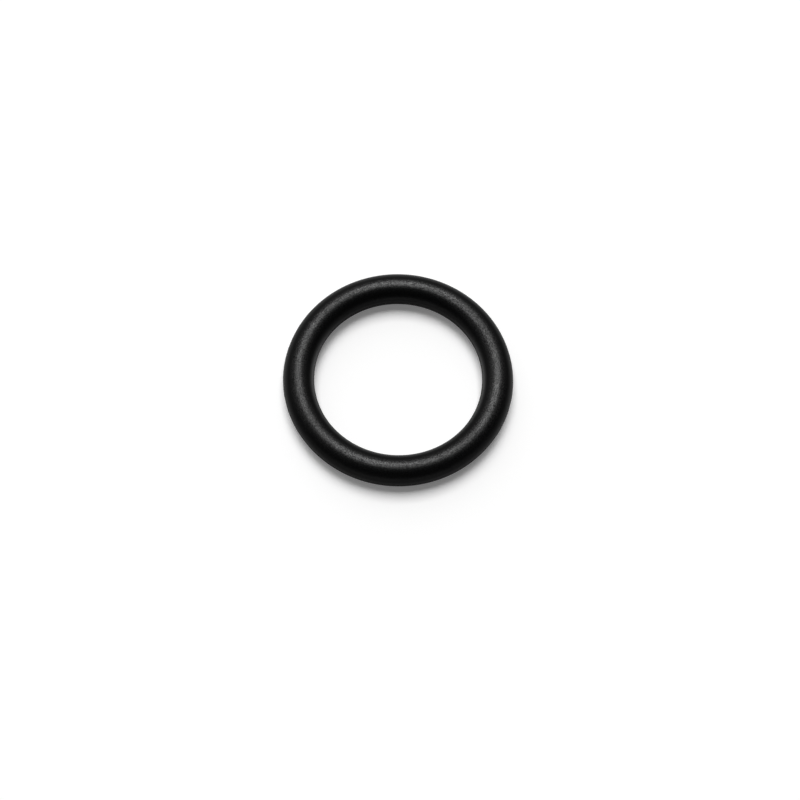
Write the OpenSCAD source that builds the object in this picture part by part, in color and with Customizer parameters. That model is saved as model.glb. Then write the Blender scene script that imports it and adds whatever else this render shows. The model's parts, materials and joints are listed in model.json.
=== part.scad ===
// Rubber O-ring with a round section, moulded in one piece.
// The origin is the ring's centre, on the plane where the two halves of its
// mould met. The ring lies flat, and +Z is its axis.

/* [Ring] */
// Inside diameter of the free ring, measured clear of the flash
inner_d = 22; // [6:0.5:60]
// Diameter of the round section
section_d = 4; // [1.5:0.1:8]

/* [Parting line] */
// How far the trimmed flash stands out of the round section
flash_height = 0.04; // [0.02:0.01:0.1]
// Thickness of the flash along the ring's axis
flash_thickness = 0.12; // [0.06:0.01:0.2]

/* [Hidden] */
// Straight pieces in a full circle
$fn = 144;
// Radius of the circle that the section's centre runs on
centre_r = (inner_d + section_d) / 2;
// Width of the section from the trimmed edge of one lip to the other
width_over_flash = section_d + 2 * flash_height;

// The round section. The film of rubber that crept between the mould halves
// is trimmed to a low lip, on the bore's side and on the rim's side.
module section() {
    circle(d = section_d);
    square([width_over_flash, flash_thickness], center = true);
}

// The section carried once round the axis, with no joint or end.
module o_ring() {
    color("#1b1b1d")
    rotate_extrude()
    translate([centre_r, 0])
    section();
}

o_ring();
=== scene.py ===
# %% [markdown]
# A rubber o-ring is one of the plainest things that a workshop holds: a round cord of black rubber,
# moulded in one piece as a closed ring. Because it is so plain, its looks hang on a few quiet things:
# a truly round section, the thin lip of trimmed rubber where the two halves of the mould met, the
# fine grain that the mould left on the skin, and the way a dull black surface takes a soft light.
# This script starts from the ring as it was drawn for its real size and dresses it for a picture.
# Everything is in metres, with the ring's centre at the origin and its axis along +Z.

# %% Load the drawn ring
import json
import math

import bpy
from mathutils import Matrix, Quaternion, Vector


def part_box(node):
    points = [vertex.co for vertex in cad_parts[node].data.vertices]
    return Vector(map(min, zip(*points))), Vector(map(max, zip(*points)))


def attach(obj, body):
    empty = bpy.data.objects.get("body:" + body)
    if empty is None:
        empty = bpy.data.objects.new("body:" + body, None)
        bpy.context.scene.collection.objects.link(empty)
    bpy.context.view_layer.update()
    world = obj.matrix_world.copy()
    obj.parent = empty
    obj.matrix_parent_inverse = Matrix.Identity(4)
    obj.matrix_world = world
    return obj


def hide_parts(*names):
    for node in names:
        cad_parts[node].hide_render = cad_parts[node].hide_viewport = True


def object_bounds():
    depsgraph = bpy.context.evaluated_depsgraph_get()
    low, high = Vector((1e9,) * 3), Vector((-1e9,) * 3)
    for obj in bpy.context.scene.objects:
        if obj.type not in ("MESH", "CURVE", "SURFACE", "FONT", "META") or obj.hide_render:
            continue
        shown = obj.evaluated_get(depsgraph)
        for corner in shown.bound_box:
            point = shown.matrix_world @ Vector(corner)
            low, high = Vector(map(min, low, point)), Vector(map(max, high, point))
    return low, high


MM = 0.001

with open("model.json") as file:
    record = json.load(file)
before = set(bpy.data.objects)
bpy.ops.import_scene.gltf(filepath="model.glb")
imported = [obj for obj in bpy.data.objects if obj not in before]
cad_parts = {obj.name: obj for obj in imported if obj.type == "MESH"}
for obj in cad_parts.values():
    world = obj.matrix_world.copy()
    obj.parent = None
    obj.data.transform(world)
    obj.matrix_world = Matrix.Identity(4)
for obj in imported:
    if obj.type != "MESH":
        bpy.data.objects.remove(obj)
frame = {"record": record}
drawn_low, drawn_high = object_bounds()
print("drawn ring, mm:", [round(side / MM, 2) for side in drawn_high - drawn_low])

# %% [markdown]
# The sizes aren't typed in again here. The drawn ring's box gives the height of its section, and the
# two interfaces in its record, the bore and the rim, are measured on the trimmed lips. Between them
# they give the centre circle, and how far a lip stands out of the round wall and how thick it is.

# %% Read the ring's sizes
mounts = {mount["name"]: mount["dims"] for mount in frame["record"]["mounts"]}
ring_low, ring_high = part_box("o_ring")
bore_r = mounts["bore"]["r_mm"] * MM
rim_r = mounts["rim"]["r_mm"] * MM
lip_thickness = mounts["rim"]["length_mm"] * MM
section_r = (ring_high.z - ring_low.z) / 2
centre_r = (bore_r + rim_r) / 2
lip_height = (rim_r - bore_r) / 2 - section_r
print(f"centre circle {centre_r / MM:.2f} mm, section {section_r / MM:.2f} mm in radius")
print(f"lip {lip_height / MM:.3f} mm proud and {lip_thickness / MM:.2f} mm thick")

# %% [markdown]
# The camera comes first, because every other choice is judged through it. The ring's outline in the
# photograph is two ovals, and only one height above the table turns a round ring into those ovals.
# The far side is a little smaller than the near side, and that gives the distance. The camera is
# then rolled and turned by a hair, so that the ring's centre lands where the photograph has it.

# %% Place the camera
PHOTO_WIDTH = 800
SENSOR_WIDTH = 36.0
LENS_LENGTH = 83.25
VIEW_HEIGHT = math.radians(65.8)
VIEW_DISTANCE = 241.7 * MM
VIEW_ROLL = math.radians(1.88)
RING_CENTRE_PIXEL = (398.2, 378.03)
# The nearest and the farthest thing that the camera sees, as a share of the ring's distance.
VIEW_DEPTH = (0.02, 50)


def place_camera():
    data = bpy.data.cameras.new("camera")
    data.sensor_width = SENSOR_WIDTH
    data.lens = LENS_LENGTH
    data.clip_start = VIEW_DISTANCE * VIEW_DEPTH[0]
    data.clip_end = VIEW_DISTANCE * VIEW_DEPTH[1]
    camera = bpy.data.objects.new("camera", data)
    bpy.context.scene.collection.objects.link(camera)
    away = Vector((0, -math.cos(VIEW_HEIGHT), math.sin(VIEW_HEIGHT)))
    facing = (-away).to_track_quat("-Z", "Y")
    roll = Quaternion((0, 0, 1), VIEW_ROLL)
    pixels_per_unit = LENS_LENGTH / SENSOR_WIDTH * PHOTO_WIDTH
    right = (RING_CENTRE_PIXEL[0] - PHOTO_WIDTH / 2) / pixels_per_unit
    up = (PHOTO_WIDTH / 2 - RING_CENTRE_PIXEL[1]) / pixels_per_unit
    turn = Vector((0, 0, -1)).rotation_difference(Vector((right, up, -1)))
    camera.rotation_mode = "QUATERNION"
    camera.location = away * VIEW_DISTANCE
    camera.rotation_quaternion = facing @ roll @ turn.inverted()
    bpy.context.scene.camera = camera
    return camera


camera = place_camera()
print("camera, mm:", [round(side / MM, 1) for side in camera.location])

# %% [markdown]
# A ring of one section is a sweep: a path, a profile, and the profile carried along the path. Torus
# primitives exist, but they know nothing of a parting line. Geometry Nodes build the sweep from its
# own sizes and leave each of them as a named input, so that the same tree makes any o-ring.
# Nodes are easier to read when one helper places them and another joins them. Two more do sums, and
# the last one runs softly from one value to another, as most moulded and worn edges do.

# %% Helpers for node trees


def add_node(tree, kind, **settings):
    node = tree.nodes.new(kind)
    for name, value in settings.items():
        setattr(node, name, value)
    return node


def feed(tree, node, **inputs):
    """Fills a node's inputs, from values or other nodes' outputs. _0 is the first input, _1 the next."""
    for name, value in inputs.items():
        by_place = name[1:].isdigit()
        socket = node.inputs[int(name[1:]) if by_place else name.replace("_", " ")]
        if isinstance(value, bpy.types.NodeSocket):
            tree.links.new(value, socket)
        else:
            socket.default_value = value
    return node


def maths(tree, operation, *values):
    """A sum. Its node belongs to the shader family, but geometry trees use it too."""
    node = add_node(tree, "ShaderNodeMath", operation=operation)
    feed(tree, node, **{f"_{place}": value for place, value in enumerate(values)})
    return node.outputs[0]


def vector_maths(tree, operation, *values, scale=None):
    node = add_node(tree, "ShaderNodeVectorMath", operation=operation)
    feed(tree, node, **{f"_{place}": value for place, value in enumerate(values)})
    if scale is not None:
        feed(tree, node, Scale=scale)
    return node.outputs["Value"] if operation in ("LENGTH", "DOT_PRODUCT") else node.outputs["Vector"]


def soft_step(tree, value, start, end, low, high):
    """Runs from low to high while the value goes from start to end, and levels off at both."""
    step = feed(tree, add_node(tree, "ShaderNodeMapRange", interpolation_type="SMOOTHSTEP"),
                Value=value, From_Min=start, From_Max=end, To_Min=low, To_Max=high)
    return step.outputs["Result"]


print("helpers for nodes: add_node, feed, maths, vector_maths, soft_step")

# %% [markdown]
# The section is a circle of points. A lip only a tenth of a millimetre thick would fall between evenly
# spaced points, so they are crowded towards the parting plane, where the lip is, and thinned out over
# the smooth crown. Shifting each point's angle by a share of the sine of twice that angle does both.

# %% Draw the section
SECTION_STEPS = 140
CROWDING = 0.36


def crowded_section(tree, radius):
    """A circle in the XY plane whose points gather where it crosses the X axis."""
    circle = feed(tree, add_node(tree, "GeometryNodeCurvePrimitiveCircle", mode="RADIUS"),
                  Resolution=SECTION_STEPS, Radius=radius)
    place = feed(tree, add_node(tree, "ShaderNodeSeparateXYZ"),
                 Vector=add_node(tree, "GeometryNodeInputPosition").outputs[0])
    angle = maths(tree, "ARCTAN2", place.outputs["Y"], place.outputs["X"])
    shift = maths(tree, "MULTIPLY", maths(tree, "SINE", maths(tree, "MULTIPLY", angle, 2.0)), CROWDING)
    angle = maths(tree, "SUBTRACT", angle, shift)
    moved = feed(tree, add_node(tree, "ShaderNodeCombineXYZ"),
                 X=maths(tree, "MULTIPLY", maths(tree, "COSINE", angle), radius),
                 Y=maths(tree, "MULTIPLY", maths(tree, "SINE", angle), radius))
    placed = feed(tree, add_node(tree, "GeometryNodeSetPosition"),
                  Geometry=circle.outputs["Curve"], Position=moved.outputs[0])
    return placed.outputs["Geometry"]


even_gap = 2 * math.pi * section_r / SECTION_STEPS
print(f"points {even_gap * (1 - 2 * CROWDING) / MM:.3f} mm apart at the lip")
print(f"points {even_gap * (1 + 2 * CROWDING) / MM:.3f} mm apart at the crown")

# %% [markdown]
# Two things move the skin in and out. The lip is raised as a low rounded ridge, because trimming and
# tumbling take its edges off, and it is a little lower in some places than in others, as a blade
# leaves it. The grain is a slight unevenness all over, from the blasted steel of the mould. It is real
# geometry, so it is still there when the mesh is used without its material.

# %% Raise the lip and the grain
# The ridge falls off between these distances from its middle, counted in thicknesses of the lip.
LIP_FALL = (0.25, 0.75)
LIP_UNEVENNESS = 0.15
LIP_PATCHES = 30.0
LIP_DETAIL = 2.0
# Nearly all of a noise texture's values lie between these two.
NOISE_SPAN = (0.3, 0.7)
GRAIN_HEIGHT = 0.012 * MM
GRAIN_SIZE = 0.35 * MM
GRAIN_DETAIL = 1.0


def seeded_noise(tree, place, seed, scale, detail):
    texture = feed(tree, add_node(tree, "ShaderNodeTexNoise", noise_dimensions="4D"),
                   Vector=place, W=seed, Scale=scale, Detail=detail)
    return texture.outputs["Fac"]


def lip_rise(tree, given, height, direction):
    start, end = [maths(tree, "MULTIPLY", given["Lip Thickness"], share) for share in LIP_FALL]
    ridge = soft_step(tree, maths(tree, "ABSOLUTE", height), start, end, 1.0, 0.0)
    keep = feed(tree, add_node(tree, "ShaderNodeMapRange"),
                Value=seeded_noise(tree, direction, given["Seed"], LIP_PATCHES, LIP_DETAIL),
                From_Min=NOISE_SPAN[0], From_Max=NOISE_SPAN[1],
                To_Min=1.0 - LIP_UNEVENNESS, To_Max=1.0)
    full_lip = maths(tree, "MULTIPLY", ridge, given["Lip Height"])
    return maths(tree, "MULTIPLY", full_lip, keep.outputs["Result"])


def grain_rise(tree, given, position):
    scale = maths(tree, "DIVIDE", 1.0, given["Grain Size"])
    grain = seeded_noise(tree, position, given["Seed"], scale, GRAIN_DETAIL)
    return maths(tree, "MULTIPLY", maths(tree, "SUBTRACT", grain, 0.5), given["Grain Height"])


print(f"lip wanders by {LIP_UNEVENNESS * lip_height / MM:.3f} mm, grain by {GRAIN_HEIGHT / MM:.3f} mm")

# %% [markdown]
# The tree joins these steps. Its path is the centre circle, with its normals held level so that the
# section doesn't twist on its way round. Every point of the skin is then moved straight away from the
# point of the centre circle that is nearest to it. A fixed seed gives the same ring every time.

# %% Build the ring's tree
TURN_STEPS = 700
RING_INPUTS = [
    ("Centre Radius", "NodeSocketFloat", centre_r),
    ("Section Radius", "NodeSocketFloat", section_r),
    ("Lip Height", "NodeSocketFloat", lip_height),
    ("Lip Thickness", "NodeSocketFloat", lip_thickness),
    ("Grain Height", "NodeSocketFloat", GRAIN_HEIGHT),
    ("Grain Size", "NodeSocketFloat", GRAIN_SIZE),
    ("Seed", "NodeSocketFloat", 4.0),
    ("Rubber", "NodeSocketMaterial", None),
]


def sweep_section(tree, given):
    path = feed(tree, add_node(tree, "GeometryNodeCurvePrimitiveCircle", mode="RADIUS"),
                Resolution=TURN_STEPS, Radius=given["Centre Radius"])
    level = feed(tree, add_node(tree, "GeometryNodeSetCurveNormal", mode="Z_UP"),
                 Curve=path.outputs["Curve"])
    sweep = feed(tree, add_node(tree, "GeometryNodeCurveToMesh"),
                 Curve=level.outputs["Curve"],
                 Profile_Curve=crowded_section(tree, given["Section Radius"]))
    return sweep.outputs["Mesh"]


def skin_offset(tree, given):
    position = add_node(tree, "GeometryNodeInputPosition").outputs[0]
    flat = vector_maths(tree, "MULTIPLY", position, (1, 1, 0))
    direction = vector_maths(tree, "NORMALIZE", flat)
    nearest = vector_maths(tree, "SCALE", direction, scale=given["Centre Radius"])
    outwards = vector_maths(tree, "NORMALIZE", vector_maths(tree, "SUBTRACT", position, nearest))
    height = feed(tree, add_node(tree, "ShaderNodeSeparateXYZ"), Vector=position).outputs["Z"]
    lip = lip_rise(tree, given, height, direction)
    return vector_maths(tree, "SCALE", outwards,
                        scale=maths(tree, "ADD", lip, grain_rise(tree, given, position)))


def build_ring_tree():
    tree = bpy.data.node_groups.new("o_ring_form", "GeometryNodeTree")
    tree.is_modifier = True
    tree.interface.new_socket("Geometry", in_out="INPUT", socket_type="NodeSocketGeometry")
    for name, kind, value in RING_INPUTS:
        socket = tree.interface.new_socket(name, in_out="INPUT", socket_type=kind)
        if value is not None:
            socket.default_value = value
    tree.interface.new_socket("Geometry", in_out="OUTPUT", socket_type="NodeSocketGeometry")
    given = add_node(tree, "NodeGroupInput").outputs
    skin = feed(tree, add_node(tree, "GeometryNodeSetPosition"),
                Geometry=sweep_section(tree, given), Offset=skin_offset(tree, given))
    smooth = feed(tree, add_node(tree, "GeometryNodeSetShadeSmooth"), Geometry=skin.outputs["Geometry"])
    real = feed(tree, add_node(tree, "GeometryNodeRealizeInstances"), Geometry=smooth.outputs["Geometry"])
    dressed = feed(tree, add_node(tree, "GeometryNodeSetMaterial"),
                   Geometry=real.outputs["Geometry"], Material=given["Rubber"])
    feed(tree, add_node(tree, "NodeGroupOutput"), Geometry=dressed.outputs["Geometry"])
    return tree


ring_tree = build_ring_tree()
print("ring tree:", len(ring_tree.nodes), "nodes")

# %% [markdown]
# The rubber itself is close to black. What the eye reads as rubber is the light that its skin sends
# back: a soft, broken band under the lamp. Moulded rubber sweats out a trace of its own wax, so the
# gloss is that of a thin, satin film over a dull body, and Principled's coat stands for it.
# The band of light isn't smooth. The mould was turned on a lathe before it was blasted, so the skin's
# tiny flecks are drawn out along the ring, almost three times as long as they are wide. The pattern
# therefore follows the ring: one direction runs along the centre circle, the other round the section.
# Taking the first from the direction's own X and Y, and not from its angle, leaves no seam where the
# ring closes.

# %% Lay the flecks along the ring
FLECK_LENGTH = 0.2 * MM
FLECK_WIDTH = 0.07 * MM
FLECK_DETAIL = 3.0
PIT_DETAIL = 2.0
# Far enough along the noise that the pits don't repeat the flecks.
PITS_APART = (7.0, 3.0, 5.0)


def follow_ring(tree, flat, angle, given):
    """Flecks counted along the centre circle, and by the section's angle round it."""
    along = vector_maths(tree, "SCALE", vector_maths(tree, "NORMALIZE", flat),
                         scale=maths(tree, "DIVIDE", given["Centre Radius"], given["Fleck Length"]))
    steps = maths(tree, "DIVIDE", given["Section Radius"], given["Fleck Width"])
    across = feed(tree, add_node(tree, "ShaderNodeCombineXYZ"), Z=maths(tree, "MULTIPLY", angle, steps))
    return vector_maths(tree, "ADD", along, across.outputs[0])


def noise(tree, place, detail):
    texture = feed(tree, add_node(tree, "ShaderNodeTexNoise"), Vector=place, Scale=1.0, Detail=detail)
    return texture.outputs["Fac"]


print("flecks once round the ring:", round(2 * math.pi * centre_r / FLECK_LENGTH))

# %% [markdown]
# The film is also uneven from handling and storing. The top is rubbed in a few slow waves round the
# ring, and one stretch of its inner shoulder is brighter, as a hook that held the ring would leave it.
# A side that faces the back is glossier than one that faces the front, and the bore is glossiest at
# its left and right, where a peg polished it. Each of these is a factor that starts from about one and
# depends on two things only: the turn, which is the angle round the ring, and the lean, which is minus
# one at the innermost point of the section and one at the outermost.

# %% Rub the film
# How many waves go round the ring, how strong they are, and where the first crest is, in degrees.
TOP_WAVES = [(2, 0.15, 97), (3, 0.07, -12), (4, 0.17, -5), (7, 0.05, -6)]
HOOK_PLACE = math.radians(40)
HOOK_MARK = 1.0
HOOK_TIGHTNESS = 6.0
SHOULDER_LEAN = (-0.3, -0.09)
SIDE_LEVEL = 0.87
SIDE_TILT = 0.35
PEG_MARK = 1.0
PEG_TIGHTNESS = 8.0


def rub_top(tree, turn, lean):
    total = 1.0
    for waves, strength, crest in TOP_WAVES:
        phase = maths(tree, "MULTIPLY_ADD", turn, waves, -waves * math.radians(crest))
        total = maths(tree, "MULTIPLY_ADD", maths(tree, "COSINE", phase), strength, total)
    nearness = maths(tree, "COSINE", maths(tree, "SUBTRACT", turn, HOOK_PLACE))
    hook = maths(tree, "POWER", maths(tree, "MAXIMUM", nearness, 0.0), HOOK_TIGHTNESS)
    shoulder = soft_step(tree, lean, *SHOULDER_LEAN, 1.0, 0.0)
    return maths(tree, "MULTIPLY_ADD", maths(tree, "MULTIPLY", hook, shoulder), HOOK_MARK, total)


def rub_sides(tree, turn, lean):
    tilt = maths(tree, "MULTIPLY", maths(tree, "SINE", turn), lean)
    total = maths(tree, "MULTIPLY_ADD", tilt, SIDE_TILT, SIDE_LEVEL)
    peg = maths(tree, "POWER", maths(tree, "ABSOLUTE", maths(tree, "COSINE", turn)), PEG_TIGHTNESS)
    bore = maths(tree, "MAXIMUM", maths(tree, "MULTIPLY", lean, -1.0), 0.0)
    return maths(tree, "MULTIPLY_ADD", maths(tree, "MULTIPLY", peg, bore), PEG_MARK, total)


print(f"side facing the front {SIDE_LEVEL - SIDE_TILT:.2f}, facing the back {SIDE_LEVEL + SIDE_TILT:.2f}")

# %% [markdown]
# All this is a node group, because a maker would want the same skin on rings of other sizes. It reads
# the place on the object, and puts out the flecks and pits, a mask for the crown, the two rubbed
# factors, and a mask for the dull stripe in the bore where the lip was trimmed.

# %% Build the skin's pattern
SKIN_INPUTS = [
    ("Centre Radius", centre_r),
    ("Section Radius", section_r),
    ("Fleck Length", FLECK_LENGTH),
    ("Fleck Width", FLECK_WIDTH),
]
# The crown begins and is full at these heights, counted in section radii.
CROWN_HEIGHT = (0.7, 0.98)
CROWN_LEAST = 0.3
TRIMMED_LEAN = (-0.95, -0.8)


def build_skin_group():
    group = bpy.data.node_groups.new("moulded_skin", "ShaderNodeTree")
    for name, value in SKIN_INPUTS:
        socket = group.interface.new_socket(name, in_out="INPUT", socket_type="NodeSocketFloat")
        socket.default_value = value
    for name in ("Flecks", "Pits", "Crown", "Top", "Sides", "Trimmed"):
        group.interface.new_socket(name, in_out="OUTPUT", socket_type="NodeSocketFloat")
    given = add_node(group, "NodeGroupInput").outputs
    place = add_node(group, "ShaderNodeTexCoord").outputs["Object"]
    part = feed(group, add_node(group, "ShaderNodeSeparateXYZ"), Vector=place).outputs
    flat = vector_maths(group, "MULTIPLY", place, (1, 1, 0))
    out = maths(group, "SUBTRACT", vector_maths(group, "LENGTH", flat), given["Centre Radius"])
    turn = maths(group, "ARCTAN2", part["Y"], part["X"])
    lean = maths(group, "DIVIDE", out, given["Section Radius"])
    height = maths(group, "DIVIDE", maths(group, "ABSOLUTE", part["Z"]), given["Section Radius"])
    pattern = follow_ring(group, flat, maths(group, "ARCTAN2", part["Z"], out), given)
    feed(group, add_node(group, "NodeGroupOutput"),
         Flecks=noise(group, pattern, FLECK_DETAIL),
         Pits=noise(group, vector_maths(group, "ADD", pattern, PITS_APART), PIT_DETAIL),
         Crown=soft_step(group, height, *CROWN_HEIGHT, CROWN_LEAST, 1.0),
         Top=rub_top(group, turn, lean),
         Sides=rub_sides(group, turn, lean),
         Trimmed=soft_step(group, lean, *TRIMMED_LEAN, 1.0, 0.0))
    return group


moulded_skin = build_skin_group()
print("skin pattern:", len(moulded_skin.nodes), "nodes")

# %% [markdown]
# One number for the gloss can't give what a grained skin does. Where the eye meets the skin almost
# square on, it looks down into the pits, and they swallow the light. At a third of the way to the
# edge the tops between the pits line up and shine most. Further round, the pits' walls hide the tops
# again, and towards the very edge the sheen slowly comes back. Layer Weight's Facing is one minus the
# cosine of that angle, and soft steps along it draw the rise, the fall and the last rise. The trimmed
# stripe stays dull where the last rise would light it up.
# The flecks show on the crown, which rubs on other things, so they break up the best of the sheen.

# %% Give the film its sheen
SHEEN_ASIDE = 0.15
SHEEN_BEST = 0.555
SHEEN_EDGE = 0.33
TRIM_DULLING = 0.7
FLECK_CONTRAST = 11.0
# Where each step begins and ends, in Facing.
TOPS_RISE = (-0.055, 0.105)
TOPS_FALL = (0.11, 0.36)
EDGE_RISE = (0.25, 0.68)
TRIM_RISE = (0.55, 0.85)


def film_sheen(tree, skin):
    slant = feed(tree, add_node(tree, "ShaderNodeLayerWeight"), Blend=0.5).outputs["Facing"]
    rise = soft_step(tree, slant, *TOPS_RISE, 0.0, 1.0)
    fall = soft_step(tree, slant, *TOPS_FALL, SHEEN_BEST - SHEEN_ASIDE, 0.0)
    edge = soft_step(tree, slant, *EDGE_RISE, SHEEN_ASIDE, SHEEN_EDGE)
    dulled = soft_step(tree, slant, *TRIM_RISE, 0.0, TRIM_DULLING)
    left = maths(tree, "SUBTRACT", 1.0, maths(tree, "MULTIPLY", skin["Trimmed"], dulled))
    sides = maths(tree, "MULTIPLY", skin["Sides"], left)
    uneven = maths(tree, "MULTIPLY", maths(tree, "SUBTRACT", skin["Flecks"], 0.5), skin["Crown"])
    flecks = maths(tree, "MAXIMUM", maths(tree, "MULTIPLY_ADD", uneven, FLECK_CONTRAST, 1.0), 0.0)
    tops = maths(tree, "MULTIPLY", maths(tree, "MULTIPLY", rise, fall), flecks)
    crown = maths(tree, "MULTIPLY", skin["Crown"], skin["Top"])
    return maths(tree, "ADD", maths(tree, "MULTIPLY", tops, crown), maths(tree, "MULTIPLY", edge, sides))


print(f"coat weight from {SHEEN_ASIDE} beside the band to {SHEEN_BEST} in it")

# %% [markdown]
# The material is one Principled shader. Its body sends almost no light back, because the carbon that
# blackens rubber swallows nearly all of it. The pits tilt the skin by a hair, through a Bump node.

# %% Make the rubber
BODY_BLACK = (0.0008, 0.0008, 0.0009, 1)
BODY_ROUGHNESS = 0.8
BODY_SPECULAR = 0.04
COAT_ROUGHNESS = 0.36
PIT_DEPTH = 0.004 * MM


def make_rubber():
    material = bpy.data.materials.new("black_rubber")
    material.use_nodes = True
    tree = material.node_tree
    tree.nodes.clear()
    body = add_node(tree, "ShaderNodeBsdfPrincipled")
    skin = add_node(tree, "ShaderNodeGroup", node_tree=moulded_skin).outputs
    pits = feed(tree, add_node(tree, "ShaderNodeBump"),
                Height=skin["Pits"], Distance=PIT_DEPTH, Strength=1.0)
    feed(tree, body, Base_Color=BODY_BLACK, Roughness=BODY_ROUGHNESS, Specular_IOR_Level=BODY_SPECULAR,
         Coat_Weight=film_sheen(tree, skin), Coat_Roughness=COAT_ROUGHNESS,
         Normal=pits.outputs["Normal"])
    feed(tree, add_node(tree, "ShaderNodeOutputMaterial"), Surface=body.outputs["BSDF"])
    return material


rubber = make_rubber()
print("rubber:", len(rubber.node_tree.nodes), "nodes")

# %% [markdown]
# The tree now makes the ring once, and the result is kept as a plain mesh. A modifier's inputs are
# known by identifiers and not by their names, so the names are looked up in the tree's interface.

# %% Mould the ring


def mould_ring():
    blank = bpy.data.objects.new("o_ring_blank", bpy.data.meshes.new("o_ring_blank"))
    bpy.context.scene.collection.objects.link(blank)
    modifier = blank.modifiers.new("form", "NODES")
    modifier.node_group = ring_tree
    for item in ring_tree.interface.items_tree:
        if item.in_out == "INPUT" and item.name == "Rubber":
            modifier[item.identifier] = rubber
    seen = blank.evaluated_get(bpy.context.evaluated_depsgraph_get())
    mesh = bpy.data.meshes.new_from_object(seen)
    mesh.name = "o_ring_moulded"
    bpy.data.objects.remove(blank)
    ring = bpy.data.objects.new("o_ring_moulded", mesh)
    bpy.context.scene.collection.objects.link(ring)
    return ring


ring = mould_ring()
print("moulded ring:", len(ring.data.vertices), "points,", len(ring.data.polygons), "faces")

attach(ring, "root")
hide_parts("o_ring")

# %% [markdown]
# The ring lies on a sheet of white paper. Paper isn't quite opaque, and light creeps through it into
# the ring's shadow, so the shadow never gets as dark as it would on a painted board. A weak light of
# the paper's own stands for that. Only the camera and the rubber's gloss see it, and it lights nothing.

# %% Set the table
TABLE_SIZE = 6.0
PAPER_WHITE = 0.95
PAPER_GLOW = 0.17


def make_table():
    mesh = bpy.data.meshes.new("table")
    half = TABLE_SIZE / 2
    corners = [(-half, -half), (half, -half), (half, half), (-half, half)]
    mesh.from_pydata([(x, y, drawn_low.z) for x, y in corners], [], [(0, 1, 2, 3)])
    table = bpy.data.objects.new("table", mesh)
    bpy.context.scene.collection.objects.link(table)
    material = bpy.data.materials.new("white_paper")
    material.use_nodes = True
    tree = material.node_tree
    sight = add_node(tree, "ShaderNodeLightPath").outputs
    mirrored = maths(tree, "MAXIMUM", sight["Is Glossy Ray"], sight["Is Transmission Ray"])
    seen = maths(tree, "MAXIMUM", sight["Is Camera Ray"], mirrored)
    feed(tree, tree.nodes["Principled BSDF"],
         Base_Color=(PAPER_WHITE, PAPER_WHITE, PAPER_WHITE, 1), Roughness=1.0, Specular_IOR_Level=0.0,
         Emission_Color=(1, 1, 1, 1), Emission_Strength=maths(tree, "MULTIPLY", seen, PAPER_GLOW))
    mesh.materials.append(material)
    return table


table = make_table()
print("table top, mm:", round(table.data.vertices[0].co.z / MM, 2))

# %% [markdown]
# One soft box lights the ring. The band of light along the ring's crown shows where it hangs: nearly
# overhead, a little behind the ring as the camera sees it and a little to the left. The width of the
# band and the softness of the shadow both give its size. It hangs far away for its size, so that the
# table is lit evenly all round the ring. Its power is its radiance times pi times its area, so that a
# change of size or distance leaves its brightness alone.

# %% Hang the soft box
BOX_HEIGHT = math.radians(72)
BOX_SIDE = math.radians(-2.2)
BOX_DISTANCE = 2.4
BOX_HALF_WIDTH = math.radians(17)
BOX_HALF_DEPTH = math.radians(18)
BOX_RADIANCE = 6.5


def hang_soft_box():
    data = bpy.data.lights.new("soft_box", "AREA")
    data.shape = "RECTANGLE"
    data.size = 2 * BOX_DISTANCE * math.tan(BOX_HALF_WIDTH)
    data.size_y = 2 * BOX_DISTANCE * math.tan(BOX_HALF_DEPTH)
    data.energy = BOX_RADIANCE * math.pi * data.size * data.size_y
    box = bpy.data.objects.new("soft_box", data)
    bpy.context.scene.collection.objects.link(box)
    behind = math.cos(BOX_SIDE) * math.cos(BOX_HEIGHT)
    above = math.cos(BOX_SIDE) * math.sin(BOX_HEIGHT)
    towards = Vector((math.sin(BOX_SIDE), behind, above))
    box.location = towards * BOX_DISTANCE
    box.rotation_mode = "QUATERNION"
    box.rotation_quaternion = (-towards).to_track_quat("-Z", "Y")
    return box


soft_box = hang_soft_box()
print(f"soft box: {soft_box.data.size:.2f} by {soft_box.data.size_y:.2f} m")

# %% [markdown]
# The rest of the light comes off a pale wall behind the table. Where a flank turns towards the front
# of the room it has nothing bright to reflect, and the black there is what makes the section look
# round. The wall is the world's light, brightest round one direction and fading away from it as the
# power of a cosine does.

# %% Light the room
WALL_HEIGHT = math.radians(28)
WALL_SIDE = math.radians(-19.5)
WALL_STRENGTH = 0.69
WALL_POWER = 1.6


def light_room():
    world = bpy.data.worlds.new("room")
    bpy.context.scene.world = world
    world.use_nodes = True
    tree = world.node_tree
    tree.nodes.clear()
    level = math.cos(WALL_HEIGHT)
    heart = (level * math.sin(WALL_SIDE), level * math.cos(WALL_SIDE), math.sin(WALL_HEIGHT))
    direction = add_node(tree, "ShaderNodeTexCoord").outputs["Generated"]
    nearness = maths(tree, "MAXIMUM", vector_maths(tree, "DOT_PRODUCT", direction, heart), 0.0)
    glow = maths(tree, "MULTIPLY", maths(tree, "POWER", nearness, WALL_POWER), WALL_STRENGTH)
    room = feed(tree, add_node(tree, "ShaderNodeBackground"), Color=(1, 1, 1, 1), Strength=glow)
    feed(tree, add_node(tree, "ShaderNodeOutputWorld"), Surface=room.outputs["Background"])
    return heart


wall_heart = light_room()
print("brightest part of the room lies towards", [round(part, 2) for part in wall_heart])

# %% [markdown]
# Last comes the plain view transform, which shows colours as they are written.

# %% Finish
bpy.context.scene.view_settings.view_transform = "Standard"
